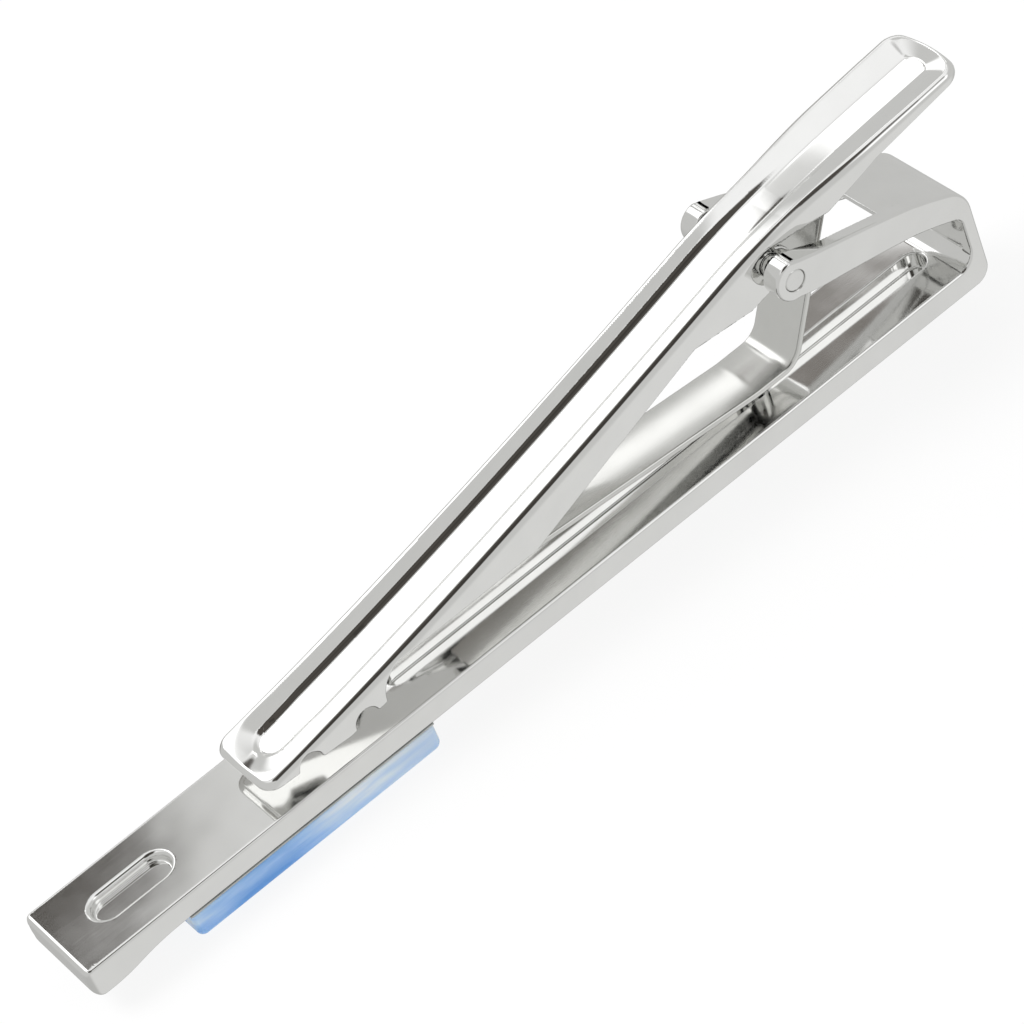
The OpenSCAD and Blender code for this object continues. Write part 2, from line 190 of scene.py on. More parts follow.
def bar_shape(x, y, z):
    """Distance from the bar's surface."""
    side = np.abs(y)
    # How far the arms stand out past the bar's sides
    splay = np.interp(x, (SPLAY_START - 0.6, SPLAY_START + 0.4, SPLAY_END, SPLAY_END + 1.2),
                      (LOBE_HALF - BAR_HALF, LOBE_HALF - BAR_HALF - 0.08, 0.05, 0)) * smooth(z, 0.6, 2.6)
    casting = meet(polygon(x, z, side_view), meet(side - BAR_HALF - splay, -x, PLAN_CORNER), OUTER_EDGE)
    # The space between the arms, which the top plate and the end wall close
    arm_inside = np.interp(x, (SPLAY_START, SPLAY_START + ARM_THINNING, SPLAY_END),
                           (ARM_GAP_HALF, LOBE_HALF - ARM_DRAWN_IN - ARM_THICK, BAR_HALF - ARM_THICK))
    filled = np.minimum(np.minimum(z - WINDOW_FLOOR, WALL_X - x), polygon(x, z, plate_view))
    casting = meet(casting, join(arm_inside - side, filled, INNER_EDGE), INNER_EDGE)
    for sizes in (SHORT_SLOT, LONG_SLOT):
        casting = slotted(casting, x, y, z, sizes)
    return meet(casting, HOLE_RADIUS - np.hypot(x - PIVOT[0], z - PIVOT[1]), HOLE_EDGE)


def to_frame(places):
    """Places in the frame, from the bar's corner and millimetres."""
    return (places + CORNER) * MM


def mesh_places(mesh):
    """A mesh's vertices, one to a row."""
    flat = np.empty(len(mesh.vertices) * 3)
    mesh.vertices.foreach_get("co", flat)
    return flat.reshape(-1, 3)


def slope_of(shape, places, step=0.02):
    """Which way a shape's distance grows fastest."""
    grown = []
    for axis in np.eye(3) * step:
        grown.append((shape(*(places + axis).T) - shape(*(places - axis).T)) / (2 * step))
    return np.stack(grown, 1)


def drawn_on(shape, places, mesh, relaxed, rounds):
    """A mesh's vertices moved onto a shape's surface, and the surface's normals there. The first rounds also even
    out the vertices."""
    ease, longest_move, least_slope = 0.6, 0.1, 0.3
    ends = np.empty(len(mesh.edges) * 2, np.int32)
    mesh.edges.foreach_get("vertices", ends)
    ends = ends.reshape(-1, 2)
    both = np.concatenate((ends[:, 0], ends[:, 1]))
    others = np.concatenate((ends[:, 1], ends[:, 0]))
    count = np.maximum(np.bincount(both, minlength=len(places)), 1)
    for turn in range(rounds):
        if turn < relaxed:
            mean = np.stack([np.bincount(both, places[others, i], len(places)) for i in range(3)], 1) / count[:, None]
            places = places + ease * (mean - places)
        way = slope_of(shape, places)
        pull = shape(*places.T) / np.maximum((way ** 2).sum(1), least_slope)
        places = places - np.clip(pull, -longest_move, longest_move)[:, None] * way
    way = slope_of(shape, places)
    return places, way / np.maximum(np.linalg.norm(way, axis=1), 1e-6)[:, None]


scene = bpy.context.scene


def dressed(name, node, grain, shape):
    """A copy of a solid's mesh in faces of about that grain, drawn onto a rounded shape. It is split finer where the
    shape turns sharply, and takes the shape's own normals."""
    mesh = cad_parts[node].data.copy()
    mesh.materials.clear()
    solid = bmesh.new()
    solid.from_mesh(mesh)
    bmesh.ops.transform(solid, matrix=Matrix.Translation(-Vector(CORNER)) @ Matrix.Scale(1 / MM, 4), verts=solid.verts)
    bmesh.ops.remove_doubles(solid, verts=solid.verts, dist=0.001)
    solid.to_mesh(mesh)
    solid.free()
    piece = bpy.data.objects.new(name, mesh)
    scene.collection.objects.link(piece)
    even = piece.modifiers.new("even", "REMESH")
    even.mode = "VOXEL"
    even.voxel_size = grain
    piece.data = bpy.data.meshes.new_from_object(piece.evaluated_get(bpy.context.evaluated_depsgraph_get()))
    piece.data.name = name
    piece.modifiers.clear()
    places, normals = drawn_on(shape, mesh_places(piece.data), piece.data, relaxed=4, rounds=7)
    for least_turn in (15, 24):
        piece.data.vertices.foreach_set("co", places.ravel())
        split = bmesh.new()
        split.from_mesh(piece.data)
        split.edges.ensure_lookup_table()
        ends = np.array([(e.verts[0].index, e.verts[1].index) for e in split.edges])
        # The swelled end's back carries the sharpest reflections, so smaller turns are split there
        swelled_back = (places[ends[:, 0], 0] < 8) & (places[ends[:, 0], 2] > -0.35)
        least = np.radians(least_turn * np.where(swelled_back, 0.45, 1))
        turns = (normals[ends[:, 0]] * normals[ends[:, 1]]).sum(1) < np.cos(least)
        sharp = {face for i in np.flatnonzero(turns) for face in split.edges[i].link_faces}
        cut = list({edge for face in sharp for edge in face.edges})
        bmesh.ops.subdivide_edges(split, edges=cut, cuts=1, use_grid_fill=True)
        split.to_mesh(piece.data)
        split.free()
        places, normals = drawn_on(shape, mesh_places(piece.data), piece.data, relaxed=1, rounds=2)
    piece.data.vertices.foreach_set("co", to_frame(places).ravel())
    piece.data.polygons.foreach_set("use_smooth", np.ones(len(piece.data.polygons), bool))
    piece.data.normals_split_custom_set_from_vertices(normals.tolist())
    piece.data.update()
    return piece


def noise(tree, source, size, detail, stretch=(1, 1, 1)):
    """Noise of that many patches to the metre, drawn out along the axes."""
    drawn = tree.nodes.new("ShaderNodeMapping")
    drawn.inputs["Scale"].default_value = stretch
    pattern = tree.nodes.new("ShaderNodeTexNoise")
    pattern.inputs["Scale"].default_value = size
    pattern.inputs["Detail"].default_value = detail
    tree.links.new(source, drawn.inputs["Vector"])
    tree.links.new(drawn.outputs["Vector"], pattern.inputs["Vector"])
    return pattern.outputs["Fac"]


def sums(tree, operation, a, b):
    """One sum on two values, each a number or another node's output."""
    node = tree.nodes.new("ShaderNodeMath")
    node.operation = operation
    for place, value in enumerate((a, b)):
        if isinstance(value, (int, float)):
            node.inputs[place].default_value = value
        else:
            tree.links.new(value, node.inputs[place])
    return node.outputs[0]


def blended(tree, a, b, factor):
    """Two colours mixed by another node's output. The first may be a node's output too."""
    mix = tree.nodes.new("ShaderNodeMix")
    mix.data_type = "RGBA"
    if isinstance(a, tuple):
        mix.inputs["A"].default_value = (*a, 1)
    else:
        tree.links.new(a, mix.inputs["A"])
    mix.inputs["B"].default_value = (*b, 1)
    tree.links.new(factor, mix.inputs["Factor"])
    return mix.outputs["Result"]


# Wear that all the metal shares: slow waves left by hand polishing, fine hairlines along the clip, and patches of haze
wear = bpy.data.node_groups.new("polish_wear", "ShaderNodeTree")
for label in ("Waviness", "Haze"):
    wear.interface.new_socket(label, in_out="INPUT", socket_type="NodeSocketFloat").default_value = 1.0
for label in ("Tint", "Roughness", "Height"):
    wear.interface.new_socket(label, in_out="OUTPUT", socket_type="NodeSocketFloat")
wear_in = wear.nodes.new("NodeGroupInput")
wear_out = wear.nodes.new("NodeGroupOutput")
where = wear.nodes.new("ShaderNodeTexCoord").outputs["Object"]
waves = noise(wear, where, size=260, detail=1.0)
hairs = noise(wear, where, size=9000, detail=2.0, stretch=(0.03, 1, 1))
patches = noise(wear, where, size=500, detail=3.0)
hair_height, hair_roughness = (sums(wear, "MULTIPLY", hairs, share) for share in (0.002, 0.02))
height = sums(wear, "ADD", sums(wear, "MULTIPLY", waves, wear_in.outputs["Waviness"]), hair_height)
haze = sums(wear, "MULTIPLY", patches, wear_in.outputs["Haze"])
wear.links.new(height, wear_out.inputs["Height"])
wear.links.new(patches, wear_out.inputs["Tint"])
wear.links.new(sums(wear, "ADD", haze, hair_roughness), wear_out.inputs["Roughness"])


def polished(name, light, dark, roughness, haze, waviness, depth):
    """Polished metal: two close greys, a base roughness with haze over it, and slow waves of that depth in mm."""
    material = bpy.data.materials.new(name)
    material.use_nodes = True
    tree = material.node_tree
    shader = tree.nodes["Principled BSDF"]
    shader.inputs["Metallic"].default_value = 1.0
    worn = tree.nodes.new("ShaderNodeGroup")
    worn.node_tree = wear
    worn.inputs["Waviness"].default_value = waviness
    worn.inputs["Haze"].default_value = haze
    tree.links.new(blended(tree, dark, light, worn.outputs["Tint"]), shader.inputs["Base Color"])
    tree.links.new(sums(tree, "ADD", worn.outputs["Roughness"], roughness), shader.inputs["Roughness"])
    bump = tree.nodes.new("ShaderNodeBump")
    bump.inputs["Strength"].default_value = 1.0
    bump.inputs["Distance"].default_value = depth * MM
    tree.links.new(worn.outputs["Height"], bump.inputs["Height"])
    tree.links.new(bump.outputs["Normal"], shader.inputs["Normal"])
    return material


def dress(piece, material):
    """Gives a piece one material."""
    piece.data.materials.clear()
    piece.data.materials.append(material)


bar = dressed("bar_casting", "bar", grain=0.175, shape=bar_shape)
dress(bar, polished("bar_plating", light=(0.9, 0.9, 0.89), dark=(0.82, 0.82, 0.81),
                    roughness=0.04, haze=0.05, waviness=1.0, depth=0.012))
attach(bar, "bar")
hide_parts("bar")

# Insert
# A slab of pale blue stone on the bar's front. It is sawn with a silky grain along the bar, ground with softened
# edges and polished.
INSERT_START, INSERT_END = 5.95, 21.25
INSERT_FACE, INSERT_BACK = -3.1, -1.48
# How its edges are rounded: across the ends of its face, along its sides, and at the bar
FACE_EDGE, SIDE_EDGE, BACK_EDGE = 0.45, 0.3, 0.1


def insert_shape(x, y, z):
    """Distance from the insert's surface."""
    block = meet(np.maximum(INSERT_START - x, x - INSERT_END), INSERT_FACE - z, FACE_EDGE)
    return meet(meet(block, np.abs(y) - BAR_HALF, SIDE_EDGE), z - INSERT_BACK, BACK_EDGE)


insert = dressed("insert_slab", "insert", grain=0.16, shape=insert_shape)
# Streaks of pale and deep blue lie along the bar, and the stone turns cloudier toward the bracket
stone = bpy.data.materials.new("insert_stone")
stone.use_nodes = True
tree = stone.node_tree
shader = tree.nodes["Principled BSDF"]
where = tree.nodes.new("ShaderNodeTexCoord").outputs["Object"]
bands = tree.nodes.new("ShaderNodeValToRGB")
bands.color_ramp.elements[0].position = 0.38
bands.color_ramp.elements[0].color = (0.11, 0.34, 0.78, 1)
bands.color_ramp.elements[1].position = 0.66
bands.color_ramp.elements[1].color = (0.8, 0.89, 0.98, 1)
bands.color_ramp.elements.new(0.52).color = (0.38, 0.6, 0.95, 1)
tree.links.new(noise(tree, where, size=420, detail=4.0, stretch=(0.22, 1, 1.4)), bands.inputs["Fac"])
along = tree.nodes.new("ShaderNodeSeparateXYZ")
tree.links.new(where, along.inputs["Vector"])
cloudy = tree.nodes.new("ShaderNodeMapRange")
cloudy.interpolation_type = "SMOOTHSTEP"
cloudy.inputs["From Min"].default_value = 2.5 * MM
cloudy.inputs["From Max"].default_value = 8 * MM
cloudy.inputs["To Max"].default_value = 0.6
tree.links.new(along.outputs["X"], cloudy.inputs["Value"])
blue = blended(tree, bands.outputs["Color"], (0.5, 0.64, 0.82), cloudy.outputs["Result"])
tree.links.new(blue, shader.inputs["Base Color"])
fibres = sums(tree, "MULTIPLY", noise(tree, where, size=3000, detail=2.0, stretch=(0.05, 1, 1)), 0.2)
tree.links.new(sums(tree, "ADD", fibres, 0.22), shader.inputs["Roughness"])
shader.inputs["Coat Weight"].default_value = 0.6
shader.inputs["Coat Roughness"].default_value = 0.06
shader.inputs["Subsurface Weight"].default_value = 0.35
shader.inputs["Subsurface Radius"].default_value = (0.5, 0.7, 1.0)
shader.inputs["Subsurface Scale"].default_value = 0.6 * MM
dress(insert, stone)
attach(insert, "bar")
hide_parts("insert")

# Cement
# The thin bed that holds the insert to the bar. It is spread on, sets a mottled grey, and shows only as a fine line
# between the stone and the metal.
cement = bpy.data.materials.new("cement")
cement.use_nodes = True
tree = cement.node_tree
shader = tree.nodes["Principled BSDF"]
where = tree.nodes.new("ShaderNodeTexCoord").outputs["Object"]
mottle = noise(tree, where, size=1500, detail=2.0)
tree.links.new(blended(tree, (0.34, 0.36, 0.36), (0.6, 0.62, 0.6), mottle), shader.inputs["Base Color"])
shader.inputs["Roughness"].default_value = 0.4
dress(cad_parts["insert_bond"], cement)

# Lever
# A channel pressed from sheet brass and plated. Its back has a dished panel inside a raised rim, and its walls are cut
# to the teeth of the jaw, the two ears round the pin and the tail.
LEVER_START, LEVER_END = 12.2, 61.0
JAW_LENGTH = 7.6
JAW_END, TURN, WIDEN, TAIL_END = 19.8, 44.51, 48.65, 54.63
JAW_WIDTH, WAIST_WIDTH, THUMB_WIDTH, THUMB_BOW = 4.9, 4.6, 5.2, 0.35
# Thickness of the walls and the roof, and the depth that the roof leaves for the dish
WALL, ROOF, PANEL = 0.4, 0.3, 0.4
# Where the dish starts and ends, how blunt its thumb end is, the width of its step, and how soft its turns are
DISH_START, DISH_END = 14.4, 59.7
DISH_BLUNT = 1.8
STEP_WIDTH = 0.22
STEP_EASE, RIM_EASE = 0.06, 0.03
# How edges are rounded: the corners seen from above, the dish's rim, the walls outside and inside, and the channel
LEVER_CORNER = 0.9
RIM_EDGE = 0.05
WALL_EDGE, WALL_INNER_EDGE = 0.12, 0.11
CHANNEL_CORNER, CHANNEL_EDGE = 0.5, 0.2
TIP_Z, THUMB_Z = 1.75, 11.4
TURN_Z = TIP_Z + (THUMB_Z - TIP_Z) * 0.772
EAR = 1.15
EAR_HOLE = 0.64
BITE = 0.95
TOOTH_RISE = BITE * 0.35
NOTCH_RADIUS = 0.7
LEVEL_Z = BITE * 3.1
TAIL_X, TAIL_Z = PIVOT[0] + EAR * 3.25, PIVOT[1] + EAR * 0.7
END_Z = THUMB_Z - WALL * 1.5


def shares(start, end, table):
    """Places between two corners, given as shares of the way across and up."""
    return [(start[0] + (end[0] - start[0]) * u, start[1] + (end[1] - start[1]) * v) for u, v in table]


back_line = np.concatenate((
    bezier(*shares((LEVER_START, TIP_Z), (TURN, TURN_Z), ((0, 0), (0.32, 0.225), (0.66, 0.588), (1, 1))), 200),
    bezier(*shares((TURN, TURN_Z), (LEVER_END, THUMB_Z), ((0, 0), (0.3, 0.625), (0.646, 0.718), (1, 1))), 120)[1:]))
back_slope = np.arctan(np.gradient(back_line[:, 1], back_line[:, 0]))
plan_x = np.linspace(LEVER_START - 1, LEVER_END + 1, 400)
plan_half = (JAW_WIDTH + (WAIST_WIDTH - JAW_WIDTH) * smooth(plan_x, JAW_END, TURN)
             + (THUMB_WIDTH - WAIST_WIDTH) * smooth(plan_x, WIDEN, TAIL_END)) / 2
notch_x = [LEVER_START + JAW_LENGTH * share for share in (0.36, 0.825)]
# The walls' lower edge, from the thumb end round the ears to the jaw, closed well above the back
lower_edge = np.concatenate((
    [(LEVER_END + 1, THUMB_Z + 4), (LEVER_END + 1, END_Z), (LEVER_END, END_Z),
     (PIVOT[0] + EAR * 6.2, TAIL_Z + (END_Z - TAIL_Z) * 0.52), (TAIL_X, TAIL_Z)],
    arc(PIVOT, EAR, 70, -110),
    [(PIVOT[0] - 1.7 * EAR, PIVOT[1] - 1.22 * EAR), (PIVOT[0] - 4.9 * EAR, PIVOT[1] - 0.9 * EAR),
     (PIVOT[0] - (PIVOT[0] - JAW_END) * 0.63, LEVEL_Z)],
    arc((JAW_END + LEVEL_Z - BITE - TOOTH_RISE, BITE + TOOTH_RISE), LEVEL_Z - BITE - TOOTH_RISE, 90, 180),
    [(LEVER_START + JAW_LENGTH * 0.67, BITE), (LEVER_START, BITE + TOOTH_RISE),
     (LEVER_START - 1, BITE + TOOTH_RISE), (LEVER_START - 1, THUMB_Z + 4)]))


def above(value, ease):
    """The part of a value over nought, with the turn there eased."""
    return (value + np.hypot(value, ease)) / 2


def lever_shape(x, y, z):
    """Distance from the lever's surface."""
    side = np.abs(y)
    half = np.interp(x, plan_x, plan_half)
    over = (z - np.interp(x, back_line[:, 0], back_line[:, 1])) * np.cos(np.interp(x, back_line[:, 0], back_slope))
    ends = np.maximum(LEVER_START - x, x - LEVER_END + THUMB_BOW * (side / half) ** 2)
    # The dish: a flat floor, a step up from it, then sides that slope gently to the rims. Along the lever, these are
    # the half widths of the floor and the rims, how far the rims lie under the back, the depth, and the step's height.
    floor_half = np.interp(x, (13, 17, 46, 55), (0.75, 0.87, 0.87, 0.85))
    rim = np.interp(x, (13, 20, 30, 46, 53, 57), (2.15, 2.1, 2.02, 1.93, 2.1, 2.3))
    lip = np.interp(x, (49, 56), (0.09, 0))
    depth = np.interp(x, (13, 15, 47, 50, 60), (0.32, 0.37, 0.37, 0.36, 0.46))
    step = np.interp(x, (13, 16, 46, 54), (0.12, 0.17, 0.17, 0))
    past_end = np.maximum(np.maximum(DISH_START - x, 0), np.maximum(x - DISH_END, 0) * DISH_BLUNT)
    out = np.hypot(side, past_end) - floor_half
    climb = (step / STEP_WIDTH + (depth - step) / (rim - floor_half)) * above(out, STEP_EASE)
    climb -= step / STEP_WIDTH * above(out - STEP_WIDTH, STEP_EASE)
    sunk = lip + above(depth - climb, RIM_EASE)
    # The pressing's outside: its upper edges are well rounded, least at the thumb
    plan = meet(side - half, ends, LEVER_CORNER)
    edge = np.interp(x, (13, 22, 50, 58), (0.6, 0.74, 0.72, 0.45))
    back = meet(meet(over, plan, edge), over + sunk, RIM_EDGE)
    lower = polygon(x, z, lower_edge)
    for place in notch_x:
        lower = meet(lower, NOTCH_RADIUS - np.hypot(x - place, z - BITE - TOOTH_RISE / 2), WALL_EDGE)
    inside = meet(side - half + WALL, ends + WALL, CHANNEL_CORNER)
    channel = meet(over + ROOF + PANEL, inside, CHANNEL_EDGE)
    walls = meet(meet(back, lower, WALL_EDGE), -channel, WALL_INNER_EDGE)
    # The roof runs whole over the notches and where the walls are low, a hair under the back
    roof = meet(meet(back + 0.012, plan + 0.36, RIM_EDGE), -over - ROOF - PANEL, RIM_EDGE)
    return meet(np.minimum(walls, roof), EAR_HOLE - np.hypot(x - PIVOT[0], z - PIVOT[1]), HOLE_EDGE)


lever = dressed("lever_channel", "lever", grain=0.165, shape=lever_shape)
dress(lever, polished("lever_plating", light=(0.92, 0.92, 0.91), dark=(0.85, 0.85, 0.84),
                      roughness=0.03, haze=0.05, waviness=1.0, depth=0.012))
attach(lever, "lever")
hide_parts("lever")

# Pivot pin
# A plain turned pin through both arms and both ears. Its heads are dressed flush with the arms, each with a fine
# groove left round it.
PIN_SIDES = 96
# Radius and reach of the near head, from its middle to the pin's side
pin_line = [(0, 3.895), (0.25, 3.892), (0.42, 3.882), (0.52, 3.862), (0.575, 3.83), (0.6, 3.78)]
pin_line += [(r, -y) for r, y in reversed(pin_line)]
turned = bmesh.new()
rings = []
for radius, across in pin_line:
    turns = np.linspace(0, 2 * math.pi, PIN_SIDES, endpoint=False) if radius else [0]
    places = [(PIVOT[0] + radius * math.cos(a), across, PIVOT[1] + radius * math.sin(a)) for a in turns]
    rings.append([turned.verts.new(place) for place in to_frame(np.array(places))])
for first, second in zip(rings, rings[1:]):
    for i in range(PIN_SIDES):
        corners = [first[i % len(first)], first[(i + 1) % len(first)],
                   second[(i + 1) % len(second)], second[i % len(second)]]
        turned.faces.new(list(dict.fromkeys(corners)))
bmesh.ops.recalc_face_normals(turned, faces=turned.faces)
for face in turned.faces:
    face.smooth = True
pin_mesh = bpy.data.meshes.new("pin")
turned.to_mesh(pin_mesh)
turned.free()
pin = bpy.data.objects.new("pin", pin_mesh)
scene.collection.objects.link(pin)
pin_metal = polished("pin_metal", light=(0.88, 0.88, 0.87), dark=(0.8, 0.8, 0.79),
                     roughness=0.05, haze=0.06, waviness=0.4, depth=0.01)
dress(pin, pin_metal)
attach(pin, "bar")
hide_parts("pivot_pin")

# Spring post
# A short round post of the pin's metal. It stands on the long slot's floor and carries the leaf's belly, brazed at
# both ends.
dress(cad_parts["spring_post"], pin_metal)

# Leaf spring
# A strip of spring steel bent to a shallow V: a free arm inside the lever's channel, a belly on the post, and a riser
# whose top lies under the lever's tail. The strip is swept along its middle line.
LEAF_THICK = 0.35
LEAF_WIDTH = 3.5
LEAF_EDGE = 0.13
LEAF_ARM = 19.3
LEAF_LAND = 2.4
BELLY_Z = 1.2
BELLY_LENGTH = 2.6
FOOT_X = PIVOT[0] - 0.35
BELLY_X = FOOT_X - BELLY_LENGTH
BEND_RADIUS = 1.3 + LEAF_THICK / 2
ARM_BEND_RADIUS = 3 * BEND_RADIUS
RISE = math.radians(60)
# Room left over the free arm's end and over the riser's top
ARM_ROOM, LAND_ROOM = 0.45, 0.05


def back_at(x):
    """How high the lever's back is."""
    return float(np.interp(x, back_line[:, 0], back_line[:, 1]))


leaf_left = BELLY_X - LEAF_ARM
arm_tilt = math.atan((back_at(leaf_left) - ROOF - PANEL - ARM_ROOM - LEAF_THICK / 2 - BELLY_Z) / LEAF_ARM)
land_tilt = math.atan((back_at(TAIL_X + LEAF_LAND) - back_at(TAIL_X)) / LEAF_LAND)
land_z = back_at(TAIL_X) - ROOF - PANEL - LAND_ROOM - LEAF_THICK / 2
rise, tilt = math.tan(RISE), math.tan(land_tilt)
land_x = (land_z - BELLY_Z + FOOT_X * rise - TAIL_X * tilt) / (rise - tilt)
land = np.array((land_x, BELLY_Z + (land_x - FOOT_X) * rise))
land_way = np.array((math.cos(land_tilt), math.sin(land_tilt)))
land_side = np.array((math.sin(land_tilt), -math.cos(land_tilt)))
top_reach = BEND_RADIUS * math.tan((RISE - land_tilt) / 2)
leaf_line = np.concatenate((
    [(leaf_left, BELLY_Z + LEAF_ARM * math.tan(arm_tilt))],
    arc((BELLY_X + ARM_BEND_RADIUS * math.tan(arm_tilt / 2), BELLY_Z + ARM_BEND_RADIUS), ARM_BEND_RADIUS,
        -90 - math.degrees(arm_tilt), -90, 8),
    arc((FOOT_X - BEND_RADIUS * math.tan(RISE / 2), BELLY_Z + BEND_RADIUS), BEND_RADIUS, -90, -30, 24),
    arc(land + land_way * top_reach + land_side * BEND_RADIUS, BEND_RADIUS, 150, 90 + math.degrees(land_tilt), 20),
    [land + land_way * (LEAF_LAND + top_reach)]))
# Even steps, so that the strip turns smoothly round its bends
walked = np.concatenate(([0], np.cumsum(np.linalg.norm(np.diff(leaf_line, axis=0), axis=1))))
steps = np.linspace(0, walked[-1], 260)
leaf_x, leaf_z = (np.interp(steps, walked, leaf_line[:, i]) for i in range(2))
leaf_path = np.stack((leaf_x, 0 * steps, leaf_z), 1)

spring_steel = polished("spring_steel", light=(0.8, 0.8, 0.78), dark=(0.7, 0.7, 0.68),
                        roughness=0.1, haze=0.1, waviness=0.5, depth=0.012)
sweep = bpy.data.node_groups.new("swept_strip", "GeometryNodeTree")
sweep.interface.new_socket("Line", in_out="INPUT", socket_type="NodeSocketGeometry")
width_socket = sweep.interface.new_socket("Width", in_out="INPUT", socket_type="NodeSocketFloat")
thick_socket = sweep.interface.new_socket("Thickness", in_out="INPUT", socket_type="NodeSocketFloat")
metal_socket = sweep.interface.new_socket("Metal", in_out="INPUT", socket_type="NodeSocketMaterial")
sweep.interface.new_socket("Strip", in_out="OUTPUT", socket_type="NodeSocketGeometry")
given = sweep.nodes.new("NodeGroupInput")
made = sweep.nodes.new("NodeGroupOutput")
to_curve = sweep.nodes.new("GeometryNodeMeshToCurve")
upright = sweep.nodes.new("GeometryNodeSetCurveNormal")
section = sweep.nodes.new("GeometryNodeCurvePrimitiveQuadrilateral")
softened = sweep.nodes.new("GeometryNodeFilletCurve")
softened.mode = "POLY"
softened.inputs["Radius"].default_value = LEAF_EDGE * MM
softened.inputs["Count"].default_value = 5
swept = sweep.nodes.new("GeometryNodeCurveToMesh")
swept.inputs["Fill Caps"].default_value = True
real = sweep.nodes.new("GeometryNodeRealizeInstances")
coated = sweep.nodes.new("GeometryNodeSetMaterial")
for source, label, target, entry in (
        (given, "Line", to_curve, "Mesh"), (to_curve, "Curve", upright, "Curve"), (upright, "Curve", swept, "Curve"),
        (given, "Width", section, "Width"), (given, "Thickness", section, "Height"),
        (section, "Curve", softened, "Curve"), (softened, "Curve", swept, "Profile Curve"),
        (swept, "Mesh", real, "Geometry"), (real, "Geometry", coated, "Geometry"),
        (given, "Metal", coated, "Material"), (coated, "Geometry", made, "Strip")):
    sweep.links.new(source.outputs[label], target.inputs[entry])
line_mesh = bpy.data.meshes.new("leaf_line")
line_mesh.from_pydata(to_frame(leaf_path).tolist(), [(i, i + 1) for i in range(len(leaf_path) - 1)], [])
leaf = bpy.data.objects.new("leaf_strip", line_mesh)
scene.collection.objects.link(leaf)
sweeping = leaf.modifiers.new("sweep", "NODES")
sweeping.node_group = sweep
sweeping[width_socket.identifier] = LEAF_WIDTH * MM
sweeping[thick_socket.identifier] = LEAF_THICK * MM
sweeping[metal_socket.identifier] = spring_steel
leaf.data = bpy.data.meshes.new_from_object(leaf.evaluated_get(bpy.context.evaluated_depsgraph_get()))
leaf.modifiers.clear()
strip = bmesh.new()
strip.from_mesh(leaf.data)
bmesh.ops.remove_doubles(strip, verts=strip.verts, dist=0.002 * MM)
bmesh.ops.recalc_face_normals(strip, faces=strip.faces)
for face in strip.faces:
    face.smooth = True
strip.to_mesh(leaf.data)
strip.free()
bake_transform(leaf)
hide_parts("leaf_spring")

# Floor
# A plain table under white paper, just below the insert's face. The paper mostly glows, so that it shows white round
# the clip and keeps only the clip's soft shadow.
FLOOR_HALF, FLOOR_Z = 0.6, -0.00002
floor_corners = [(x * FLOOR_HALF, y * FLOOR_HALF, FLOOR_Z) for x, y in ((-1, -1), (1, -1), (1, 1), (-1, 1))]
floor_mesh = bpy.data.meshes.new("floor")
floor_mesh.from_pydata(floor_corners, [], [(0, 1, 2, 3)])
floor = bpy.data.objects.new("floor", floor_mesh)
scene.collection.objects.link(floor)
paper = bpy.data.materials.new("paper")
paper.use_nodes = True
tree = paper.node_tree
lit = tree.nodes["Principled BSDF"]
lit.inputs["Base Color"].default_value = (0.9, 0.9, 0.9, 1)
lit.inputs["Roughness"].default_value = 0.9
lit.inputs["Specular IOR Level"].default_value = 0
pale = tree.nodes.new("ShaderNodeEmission")
faint = tree.nodes.new("ShaderNodeMixShader")
faint.inputs["Fac"].default_value = 0.88
tree.links.new(lit.outputs["BSDF"], faint.inputs[1])
tree.links.new(pale.outputs["Emission"], faint.inputs[2])
tree.links.new(faint.outputs["Shader"], tree.nodes["Material Output"].inputs["Surface"])
floor_mesh.materials.append(paper)
floor.visible_glossy = False

# Light
# The studio as the metal sees it: grey walls with soft bright panels and dark screens. A wide soft lamp above the
# swelled end, on the far side, gives the shadow.
world = bpy.data.worlds.new("studio")
scene.world = world
world.use_nodes = True
tree = world.node_tree
way = tree.nodes.new("ShaderNodeTexCoord").outputs["Generated"]
studio = (0.6, 0.6, 0.59)
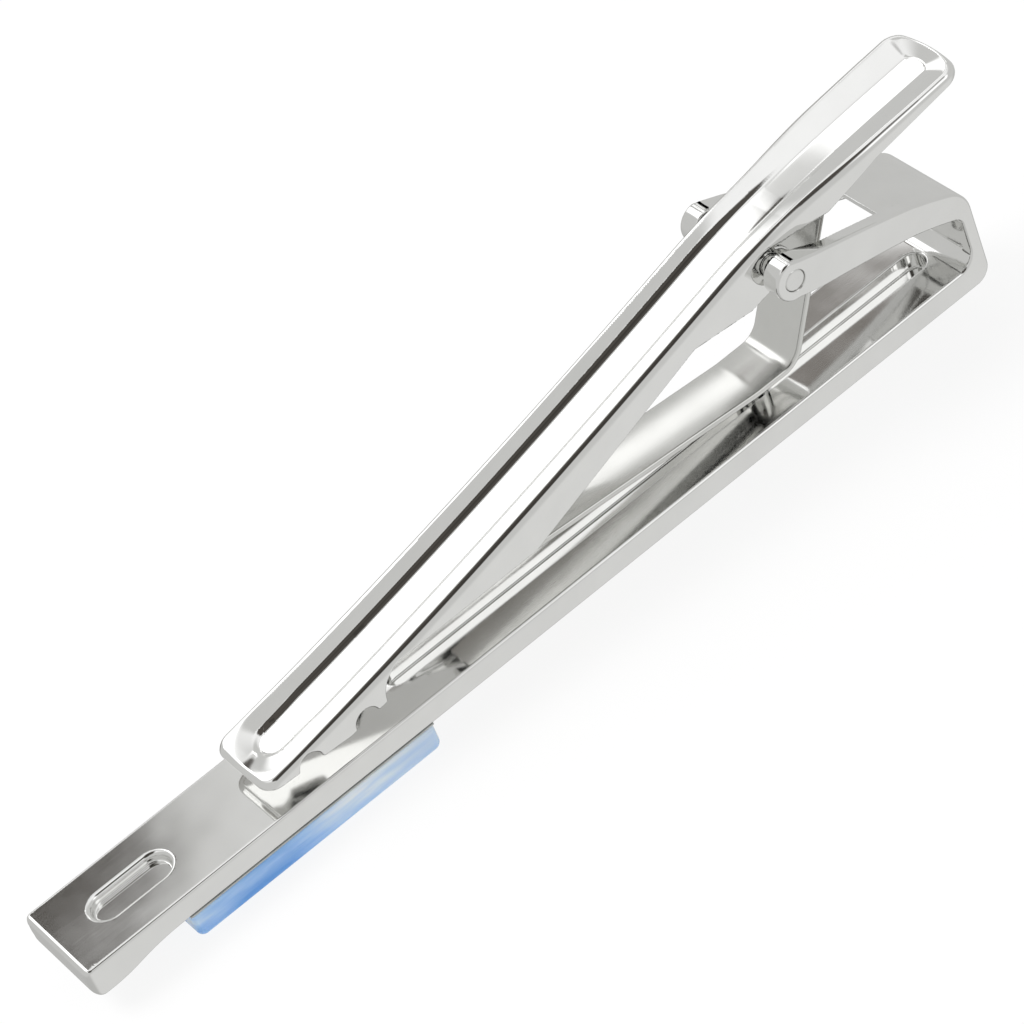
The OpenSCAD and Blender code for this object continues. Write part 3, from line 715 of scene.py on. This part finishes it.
# Each panel's direction, the angles in degrees where it is full and where it ends, and its colour
for direction, inner, outer, colour in (
        # The ceiling, the table, and the light that the near sides of the bar and lever show
        ((0, 0, 1), 15, 50, (1.0, 1.0, 1.0)),
        ((0, 0.1, -1), 30, 80, (0.5, 0.5, 0.49)),
        ((0.27, -0.69, -0.67), 20, 50, (0.72, 0.72, 0.71)),
        # A dark screen low on the far side, for the near slope of the lever's dish
        ((0.15, 0.9, -0.36), 8, 28, (0.17, 0.155, 0.14)),
        # Bright panels for the dish's floor, for the soft turn beside it, and for its thumb end
        ((-0.08, 0.69, 0.72), 9, 15, (1.6, 1.6, 1.6)),
        ((0.0, 0.9, 0.43), 8, 14, (1.3, 1.3, 1.3)),
        ((0.25, 0.675, 0.695), 3, 6, (1.4, 1.4, 1.4)),
        # The bar's back: grey near the jaw, dark at the swelled end, and dusky toward the bracket
        ((0.194, 0.692, 0.696), 1.2, 3, (0.7, 0.7, 0.69)),
        ((0.138, 0.715, 0.685), 1.7, 2.9, (0.08, 0.072, 0.064)),
        ((0.352, 0.66, 0.664), 1.8, 3.3, (0.2, 0.185, 0.17)),
        # Bright panels for the leaf's arm, and for the rounded near edges at the bracket
        ((0.43, 0.672, 0.602), 3.6, 5.2, (1.5, 1.5, 1.5)),
        ((0.38, -0.66, 0.66), 8, 18, (1.2, 1.2, 1.2)),
        # Dark screens for the dish's far slope and the lever's near edge, and a grey one beside them
        ((-0.12, -0.4, 0.91), 18, 27, (0.08, 0.073, 0.065)),
        ((-0.08, -0.68, 0.73), 8, 14, (0.05, 0.046, 0.041)),
        ((-0.12, -0.04, 0.99), 11, 16, (0.07, 0.064, 0.057)),
        ((-0.12, 0.4, 0.91), 7, 11, (0.6, 0.6, 0.59))):
    facing = tree.nodes.new("ShaderNodeVectorMath")
    facing.operation = "DOT_PRODUCT"
    facing.inputs[1].default_value = Vector(direction).normalized()
    tree.links.new(way, facing.inputs[0])
    share = tree.nodes.new("ShaderNodeMapRange")
    share.interpolation_type = "SMOOTHSTEP"
    share.inputs["From Min"].default_value = math.cos(math.radians(outer))
    share.inputs["From Max"].default_value = math.cos(math.radians(inner))
    tree.links.new(facing.outputs["Value"], share.inputs["Value"])
    studio = blended(tree, studio, colour, share.outputs["Result"])
# The camera itself sees plain white
camera_ray = tree.nodes.new("ShaderNodeLightPath").outputs["Is Camera Ray"]
tree.links.new(blended(tree, studio, (1, 1, 1), camera_ray), tree.nodes["Background"].inputs["Color"])

key_data = bpy.data.lights.new("key", "AREA")
key_data.shape = "RECTANGLE"
key_data.size = 0.3
key_data.size_y = 0.3
key_data.energy = 2.6
key = bpy.data.objects.new("key", key_data)
key_place = Vector((-0.25, 0.2, 0.5))
key.matrix_world = Matrix.Translation(key_place) @ key_place.to_track_quat("Z", "Y").to_matrix().to_4x4()
key.visible_glossy = False
scene.collection.objects.link(key)

# Camera
# A long lens over the clip's swelled end, on its near side. It looks down at the clip's back and is rolled, so that
# the bar climbs to the right.
camera_data = bpy.data.cameras.new("camera")
camera_data.sensor_width = 36
camera_data.lens = 160.99
camera_data.clip_start = 0.01
camera_data.clip_end = 10
camera = bpy.data.objects.new("camera", camera_data)
camera_place = Vector((-44.38, -154.03, 158.01)) * MM
view_line = Vector((0.2734, 0.6866, -0.6737))
picture_right = Vector((0.7544, -0.5876, -0.2927))
turn = Matrix((picture_right, picture_right.cross(view_line), -view_line)).transposed()
camera.matrix_world = Matrix.Translation(camera_place) @ turn.to_4x4()
scene.collection.objects.link(camera)
scene.camera = camera
scene.view_settings.view_transform = "Standard"
